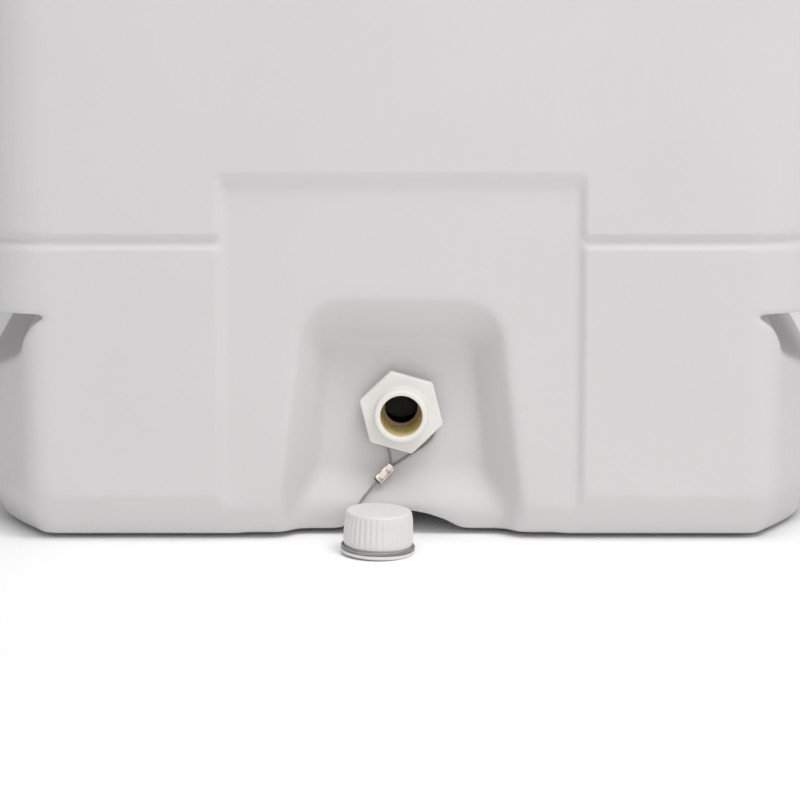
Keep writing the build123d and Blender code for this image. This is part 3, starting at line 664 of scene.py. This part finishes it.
def soften(piece, name, weights, repeat):
    """Smooths the piece where the weights say, as a mould rounds a form."""
    group = piece.vertex_groups.new(name=name)
    levels = np.round(weights * WEIGHT_STEPS).astype(int)
    for level in range(1, WEIGHT_STEPS + 1):
        chosen = np.nonzero(levels == level)[0]
        if len(chosen):
            group.add(chosen.tolist(), level / WEIGHT_STEPS, "REPLACE")
    smooth = piece.modifiers.new(name, "SMOOTH")
    smooth.factor = 0.5
    smooth.iterations = repeat
    smooth.vertex_group = name


def moulded_body():
    """The outer shell as it comes out of the mould: the CAD form with every edge rounded, more so at the
    outlet recess, the lifting ledges and the base."""
    source = frame["nodes"]["outer_shell"]
    piece = bpy.data.objects.new("moulded_body", source.data.copy())
    bpy.context.scene.collection.objects.link(piece)
    remesh = piece.modifiers.new("even_mesh", "REMESH")
    remesh.mode = "VOXEL"
    remesh.voxel_size = VOXEL * MM
    settle(piece)

    count = len(piece.data.vertices)
    spots = np.empty(count * 3)
    piece.data.vertices.foreach_get("co", spots)
    x, y, z = spots.reshape(-1, 3).T / MM
    across, lengthwise = abs(x), abs(y)
    from_outlet = np.hypot(x, z - OUTLET_Z)
    recess = inside(across, -1, RECESS_HALF, 6) * inside(z, -5, RECESS_TOP, 6)
    recess *= 1 - ease(y, RECESS_BACK_Y - 6, RECESS_BACK_Y)
    recess *= ease(from_outlet, SEAT_R, SEAT_EDGE_R)
    ledge = inside(across, LEDGE_IN, LEDGE_OUT, 8) * inside(z, LEDGE_LOW, LEDGE_HIGH, 4)
    rim = np.maximum(across / BASE_HALF_W, lengthwise / BASE_HALF_L)  # 1 at the base's edge
    base = (1 - ease(z, BASE_LOW, BASE_HIGH)) * ease(rim, 0.9, 0.94)
    lower_corner = inside(z, CORNER_LOW, CORNER_HIGH, 8)
    lower_corner *= ease(lengthwise, 215, 225) * ease(across, 160, 172)
    soften(piece, "all_over", np.ones(count), 1)
    soften(piece, "recess", recess, 34)
    soften(piece, "ledge", ledge, 6)
    soften(piece, "base", base, 8)
    soften(piece, "lower_corner", lower_corner, 12)
    settle(piece)

    thin = piece.modifiers.new("thin_out", "DECIMATE")
    thin.ratio = MOST_TRIANGLES / (2 * len(piece.data.polygons))
    settle(piece)
    for polygon in piece.data.polygons:
        polygon.use_smooth = True
    even_normals(piece)
    return stand_for(piece, "outer_shell")


# ---------------------------------------------------------------- outlet
def soft_hexagon(r, h, angle, share):
    """A circle where share is 0, and a hexagon with soft corners of that inner radius where it is 1."""
    if share == 0:
        return r
    sharp = 64
    total = sum(max(0.0, cos(angle - HEX_TURN - radians(30 + 60 * k))) ** sharp for k in range(6))
    return r * total ** (-1 / sharp)


def outlet():
    """The spout with its hexagon and rounded nose, and the nylon sleeve that lines it."""
    place = facing_front(0, MOUTH_Y, OUTLET_Z)
    hex_front, hex_back = -NOSE, -NOSE - HEX_T
    shank_end = MOUTH_Y - SHANK_END_Y
    sleeve_front = -SLEEVE_BEHIND_MOUTH
    lip_front = -THROAT_BEHIND_MOUTH
    wide_r = SLEEVE_R - 0.3  # behind the throat's lip
    spout = lathe(
        "spout",
        [
            (SPOUT_R, shank_end, 0.6),
            (SPOUT_R, hex_back, 0.5),
            (HEX_HALF, hex_back, 0.8, 1),
            (HEX_HALF, hex_front, 1.2, 1),
            (SPOUT_R + 0.1, hex_front, 0.9),
            (SPOUT_R, 0, 1.9),
            (BORE_R, 0, 1.1),
            (BORE_R, sleeve_front, 0.2),
            (SLEEVE_R, sleeve_front, 0.1),
            (SLEEVE_R, shank_end, 0.2),
        ],
        place,
        soft_hexagon,
        turns=192,
    )
    stand_for(spout, "drain_spout")
    sleeve = lathe(
        "bore_sleeve",
        [
            (SLEEVE_R, sleeve_front, 0.1),
            (BORE_R, sleeve_front, 0.3),
            (BORE_R - 0.15, lip_front, 0.8),
            (THROAT_R, lip_front - 0.6, 0.5),
            (THROAT_R, lip_front - 2.4, 0.4),
            (wide_r, lip_front - 2.8, 0.2),
            (wide_r, shank_end, 0.1),
            (SLEEVE_R, shank_end, 0.3),
        ],
        place,
    )
    stand_for(sleeve, "drain_sleeve")


def crimped_sleeve(name, start, end, wide, node):
    """A flattened ferrule of two rope holes crimped into one slot, open at both ends. Its mesh carries painted
    shade inside the hollow and along one narrow side."""
    along = (end - start).normalized()
    wide = (wide - along * wide.dot(along)).normalized()
    thick = along.cross(wide)
    length = (end - start).length
    wall = FERRULE_WALL
    sides = 48
    # distance along, how far the outline is drawn in, and the change of its width by the crimp
    outside = [(0.0, 0.22, 0), (0.12, 0.05, 0), (0.4, 0.0, 0.0), (1.6, 0.0, 0.06), (2.6, 0.06, 0.2)]
    outside += [(3.6, 0.0, 0.06), (length / 2, 0.0, -0.04)]
    outside += [(length - s, pull, crimp) for s, pull, crimp in reversed(outside[:-1])]
    inside_run = [(length, wall - 0.1, 0), (length - 2.5, wall, 0), (2.5, wall, 0), (0.0, wall - 0.1, 0)]
    # the second list holds painted shade: full inside the hollow, and a band along one narrow side
    rings, painted_shade = [], []
    for s, pull, crimp in outside + inside_run:
        ring = []
        hollow = len(rings) >= len(outside)
        half_w = FERRULE_W / 2 - pull + crimp * 0.3
        half_t = FERRULE_T / 2 - pull - crimp
        for k in range(sides):
            u, v = boxy(tau * k / sides, 3.6)
            ring.append(start + along * s + wide * u * half_w + thick * v * half_t)
            painted_shade.append(1.0 if hollow else 0.85 * float(ease(u, 0.93, 0.99)))
        rings.append(ring)
    piece = skin(name, rings, loop=True)
    piece.data.attributes.new("painted_shade", "FLOAT", "POINT").data.foreach_set("value", painted_shade)
    even_normals(piece)
    return stand_for(piece, node)


# ---------------------------------------------------------------- cap on its lanyard
CAP_AXIS = Vector(joint("cap_spin")["axis"])
CAP_ORIGIN = Vector(joint("cap_spin")["pos_m"]) / MM
CAP_X_DIR = Vector((CAP_AXIS.z, 0, -CAP_AXIS.x)).normalized()
CAP_Y_DIR = CAP_AXIS.cross(CAP_X_DIR)
CAP_PLACE = Matrix.Translation(CAP_ORIGIN) @ Matrix((CAP_X_DIR, CAP_Y_DIR, CAP_AXIS)).transposed().to_4x4()
CAP_RIM_R, CAP_HEIGHT, CAP_FLUTES = 18.2, 21.2, 36
CAP_BORE_R, CAP_CEILING = 13.6, 16.0
CAP_SIDE_LOW, CAP_SIDE_R, CAP_TAPER = 4.6, 16.85, 0.055
BEAD_R = 13.35
RING_R, RING_Z = 17.5, 2.85
FERRULE_TURN = radians(-20)
FERRULE_REACH = CAP_RIM_R + FERRULE_W / 2 + 0.6
FERRULE_L = 10.0
STRAND_GAP = 0.85
RING_LEAVES = radians(60)


def fluted(r, h, angle, share):
    """Broad soft ribs where share is above 0, fading out at both ends of the side."""
    if share == 0:
        return r
    return r + 0.5 * share * (0.5 + 0.5 * cos(CAP_FLUTES * angle)) ** 0.8


def outlet_cap():
    """The ribbed cap, standing mouth down, with a groove for its ring and sealing beads inside."""
    shares = [0.0, 0.7, 1, 1, 1, 1, 1, 0.8, 0.35]
    climbs = np.linspace(0, CAP_HEIGHT - CAP_SIDE_LOW - 2.0, len(shares))
    side = [(CAP_SIDE_R - CAP_TAPER * h, CAP_SIDE_LOW + h, 0, share) for h, share in zip(climbs, shares)]
    beads = []
    for h in (9.0, 6.0, 3.0):
        beads += [(CAP_BORE_R, h + 1.5, 0.3), (BEAD_R, h + 1.0, 0.3)]
        beads += [(BEAD_R, h + 0.6, 0.3), (CAP_BORE_R, h, 0.3)]
    profile = [
        (0, CAP_CEILING, 0),
        (CAP_BORE_R, CAP_CEILING, 0.6),
        *beads,
        (CAP_BORE_R, 0.5, 0.3),
        (CAP_BORE_R + 0.5, 0.0, 0.3),
        (CAP_RIM_R - 0.25, 0.0, 0.25),
        (CAP_RIM_R, 0.5, 0.4),
        (CAP_RIM_R, 1.5, 0.5),
        (16.9, 1.95, 0.3),
        (16.5, 2.2, 0.4),
        (16.4, 3.6, 0.4),
        (16.75, 4.2, 0.3),
        *side,
        (16.0, CAP_HEIGHT - 1.3, 0.5),
        (15.5, CAP_HEIGHT - 0.65, 1.0),
        (14.3, CAP_HEIGHT - 0.38, 1.0),
        (9.0, CAP_HEIGHT - 0.15, 4.0),
        (0, CAP_HEIGHT - 0.05, 0),
    ]
    cap = lathe("outlet_cap", profile, CAP_PLACE, fluted, turns=CAP_FLUTES * 12, closed=False)
    return stand_for(cap, "drain_cap")


def cap_ring_line():
    """The ring's line in metres: round the cap's groove, and out to both ends of the ferrule behind it."""
    x_dir = CAP_X_DIR * cos(FERRULE_TURN) + CAP_Y_DIR * sin(FERRULE_TURN)
    y_dir = CAP_AXIS.cross(x_dir)
    centre = CAP_ORIGIN + CAP_AXIS * RING_Z

    def spot(across, back):
        return (centre + x_dir * across + y_dir * back) * MM

    bulge = FERRULE_REACH - STRAND_GAP
    leave = Vector((RING_R * sin(RING_LEAVES), RING_R * cos(RING_LEAVES)))
    # where the tangent at the leaving point meets the ferrule's line
    meet = leave.x - (bulge - leave.y) * cos(RING_LEAVES) / sin(RING_LEAVES)
    bends = []
    bend_steps = 12
    for k in range(1, bend_steps + 1):
        t = k / bend_steps
        across = leave.x * (1 - t) ** 2 + meet * 2 * t * (1 - t) + FERRULE_L / 2 * 0.8 * t**2
        back = leave.y * (1 - t) ** 2 + bulge * 2 * t * (1 - t) + bulge * t**2
        bends.append((across, back))
    arc = []
    arc_steps = 90
    for k in range(arc_steps + 1):
        angle = RING_LEAVES + (tau - 2 * RING_LEAVES) * k / arc_steps
        arc.append((RING_R * sin(angle), RING_R * cos(angle)))
    line = [spot(a, b) for a, b in reversed(bends)]
    line += [spot(a, b) for a, b in arc]
    line += [spot(-a, b) for a, b in bends]
    return line, centre, x_dir, y_dir


def lanyard():
    """The wire rope: a loop round the spout's neck, its ferrule, the free stretch and the ring on the cap."""
    loop_y = WASHER_LOW.y - 1.25
    controls = [Vector((x, loop_y, OUTLET_Z + z)) * MM for x, z in LOOP_POINTS]
    loop_line = nurbs_line("loop_line", controls)
    stand_for(wire_rope("neck_loop", loop_line), "spout_loop")

    top, low = Vector((-4.8, loop_y - 0.4, 34.5)), Vector((-12.0, loop_y - 4.7, 27.7))
    crimped_sleeve("neck_ferrule", top, low, Vector((0.7, 0, -0.7)), "spout_ferrule")

    ring_line, centre, x_dir, y_dir = cap_ring_line()
    ring = stand_for(wire_rope("cap_ring", ring_line), "cap_loop")
    ends = [centre + x_dir * side * FERRULE_L / 2 + y_dir * FERRULE_REACH for side in (-1, 1)]
    ring_ferrule = crimped_sleeve("ring_ferrule", ends[0], ends[1], y_dir, "cap_ferrule")
    cap = outlet_cap()

    line = nurbs_line("lanyard_line", ROUTE)
    rope = stand_for(wire_rope("lanyard_rope", line), "lanyard_cable")


# ---------------------------------------------------------------- fill opening
FILL_Y = joint("lid_turn")["pos_m"][1] / MM
LID_LOW_Z = extent("fill_lid")[0].z
LID_PLATE_Z = extent("lid_gasket")[1].z + 0.05
COLLAR_LOW, COLLAR_HIGH = extent("fill_collar")
GASKET_HIGH = extent("collar_gasket")[1].z
COLLAR_BORE_R, COLLAR_NECK_R, FLANGE_R, FLANGE_T = 74.0, 77.7, 101.0, 5
THREAD_ROOT_R, THREAD_DEPTH, THREAD_PITCH = 80.0, 0.75, 6.0
SCREWS, SCREW_CIRCLE_R, SCREW_HOLE_R, SCREW_HEAD_R = 6, 95, 2.7, 4.9
LID_BORE_R, LID_SKIRT_R, LID_RIBS, LID_RIB_DEPTH = 80.9, 87.0, 48, 1.5
GRIP_HALF_L, GRIP_HALF_W, GRIP_WAIST = 66.0, 9.0, 0.22


def threaded(r, h, angle, share):
    """A raised helical ridge where share is above 0."""
    if share == 0:
        return r
    phase = (h / THREAD_PITCH - angle / tau) % 1.0
    ridge = max(0.0, 1 - abs(phase - 0.5) / 0.22)
    return r + share * THREAD_DEPTH * min(1.0, ridge * 1.6)


def lid_sides(r, h, angle, share):
    """Grip ribs round the lid's skirt."""
    if share == 0:
        return r
    return r + LID_RIB_DEPTH * share * max(0.0, cos(LID_RIBS * angle)) ** 0.7


def fill_collar():
    """The flanged ring with its external thread, screwed to the deck."""
    place = upright(0, FILL_Y, 0)
    low, high = COLLAR_LOW.z, COLLAR_HIGH.z
    flange_top = GASKET_HIGH + FLANGE_T
    thread = [(THREAD_ROOT_R, h, 0, 1) for h in np.arange(flange_top + 2.5, high - 1.5, 0.5)]
    profile = [
        (COLLAR_BORE_R, low, 0.4),
        (COLLAR_NECK_R, low, 0.6),
        (COLLAR_NECK_R, GASKET_HIGH, 0.2),
        (FLANGE_R, GASKET_HIGH, 0.3),
        (FLANGE_R, flange_top, 1.6),
        (THREAD_ROOT_R, flange_top, 1.0),
        (THREAD_ROOT_R, flange_top + 1.6, 0),
        *thread,
        (THREAD_ROOT_R, high - 0.9, 0),
        (THREAD_ROOT_R, high, 0.8),
        (COLLAR_BORE_R, high, 0.8),
    ]
    collar = lathe("threaded_collar", profile, place, threaded, turns=240)
    # countersunk holes for the screws, with a little clearance
    cutters = []
    hole_low, hole_high = GASKET_HIGH - 2, flange_top + 1
    hole = [(0, hole_low, 0), (SCREW_HOLE_R, hole_low, 0), (SCREW_HOLE_R, flange_top - 2.2, 0)]
    hole += [(SCREW_HEAD_R, flange_top, 0), (SCREW_HEAD_R, hole_high, 0), (0, hole_high, 0)]
    for k in range(SCREWS):
        angle = tau * (k + 0.5) / SCREWS
        spot = upright(SCREW_CIRCLE_R * cos(angle), FILL_Y + SCREW_CIRCLE_R * sin(angle), 0)
        cutters.append(lathe(f"hole_{k}", hole, spot, turns=32, closed=False))
    cut_with(collar, cutters, "DIFFERENCE")
    stand_for(collar, "fill_collar")


def cut_with(piece, others, operation):
    """Cuts others away from a piece, or joins them to it."""
    piece.modifiers.clear()
    for other in others:
        other.modifiers.clear()
        cut = piece.modifiers.new("cut", "BOOLEAN")
        cut.operation = operation
        cut.solver = "EXACT"
        cut.object = other
        settle(piece)
        bpy.data.objects.remove(other)
    for polygon in piece.data.polygons:
        polygon.use_smooth = True
    even_normals(piece)


def grip_bar():
    """The bar across the lid, waisted in the middle and rounded on top."""
    base_z = LID_PLATE_Z + 4.2
    sides = 160
    # height above the plate, how far the outline is drawn in
    levels = [(0, -1.6), (1.4, -0.9), (2.6, -0.2), (4, 0.2), (9.0, 0.9), (10.6, 1.3), (12.0, 2.2)]
    levels += [(13.2, 3.8), (13.75, 6.0), (13.8, 7.5)]
    rings = []
    for height, pull in levels:
        ring = []
        for k in range(sides):
            u, v = boxy(tau * k / sides, 3.2)
            half_w = GRIP_HALF_W * (1 - GRIP_WAIST * cos(u * pi / 2) ** 2)
            across, back = u * (GRIP_HALF_L - pull), v * (half_w - pull * 0.8)
            ring.append(Vector((across, FILL_Y + back, base_z + height)))
        rings.append(ring)
    centre_low = [Vector((0, FILL_Y, base_z))]
    centre_high = [Vector((0, FILL_Y, base_z + levels[-1][0]))]
    return skin("grip_bar", [centre_low, *rings, centre_high])


def fill_lid():
    """The screw lid: ribbed skirt, dished top with a raised rim, and the grip bar."""
    place = upright(0, FILL_Y, 0)
    low, plate = LID_LOW_Z, LID_PLATE_Z
    top = plate + 5.0
    shares = (0.4, 1, 1, 1, 1, 1, 0.7, 0.0)
    heights = np.linspace(low + 0.8, low + 16.5, len(shares))
    ribs = [(LID_SKIRT_R, h, 0, share) for h, share in zip(heights, shares)]
    profile = [
        (0, plate, 0),
        (LID_BORE_R, plate, 0.6),
        (LID_BORE_R, low, 0.3),
        (LID_SKIRT_R - 0.2, low, 0.3),
        *ribs,
        (LID_SKIRT_R, top, 2.8),
        (79.0, top, 1.2),
        (77.0, top - 1.6, 1.2),
        (0, top - 1.6, 0),
    ]
    lid = lathe("screw_lid", profile, place, lid_sides, turns=LID_RIBS * 8, closed=False)
    cut_with(lid, [grip_bar()], "UNION")
    stand_for(lid, "fill_lid")


# ---------------------------------------------------------------- vent
VENT_LOW, VENT_HIGH = extent("vent_body")
VENT_Y = (VENT_LOW.y + VENT_HIGH.y) / 2
VENT_FLANGE_Z = extent("vent_gasket")[1].z
VENT_FLANGE_R, VENT_NECK_R, VENT_SHANK_R, VENT_WIDE_R, VENT_NARROW_R = 16, 10, 7.5, 6.3, 4.8
PLUG_STEM_R, PLUG_BORE_R, PLUG_R, PLUG_RIBS = 3.6, 10.4, 13, 20


def knurled(r, h, angle, share):
    """Fine grip ribs on the vent's plug."""
    if share == 0:
        return r
    return r + 0.65 * share * (0.5 + 0.5 * cos(PLUG_RIBS * angle)) ** 1.5


def vent():
    """The vent's flanged body and its push-pull plug."""
    place = upright(0, VENT_Y, VENT_FLANGE_Z)
    bottom = VENT_LOW.z - VENT_FLANGE_Z
    body = lathe(
        "vent_flange",
        [
            (VENT_NARROW_R, bottom, 0.2),
            (VENT_SHANK_R, bottom, 0.4),
            (VENT_SHANK_R, 0, 0.2),
            (VENT_FLANGE_R, 0, 0.3),
            (VENT_FLANGE_R, 4, 1.6),
            (VENT_NECK_R, 4, 0.9),
            (VENT_NECK_R, 11, 0.8),
            (VENT_WIDE_R, 11, 0.5),
            (VENT_WIDE_R, -10, 0.3),
            (VENT_NARROW_R, -10, 0.3),
        ],
        place,
    )
    stand_for(body, "vent_body")
    shares = (0.3, 1, 1, 1, 0.8, 0.2)
    ribs = [(PLUG_R, h, 0, share) for h, share in zip(np.linspace(7.0, 14.2, len(shares)), shares)]
    plug = lathe(
        "vent_button",
        [
            (0, -20.4, 0),
            (PLUG_STEM_R, -20.4, 0.5),
            (PLUG_STEM_R, 11.6, 0.6),
            (PLUG_BORE_R, 11.6, 0.6),
            (PLUG_BORE_R, 6, 0.2),
            (PLUG_R, 6, 0.4),
            *ribs,
            (PLUG_R, 16.6, 2.0),
            (9.5, 16.6, 0.8),
            (8.7, 16.0, 0.8),
            (0, 16.0, 0),
        ],
        place,
        knurled,
        turns=200,
        closed=False,
    )
    stand_for(plug, "vent_plug")


add_camera()
add_studio()
dress_cad_nodes()
lanyard()
outlet()
fill_collar()
fill_lid()
vent()
moulded_body()
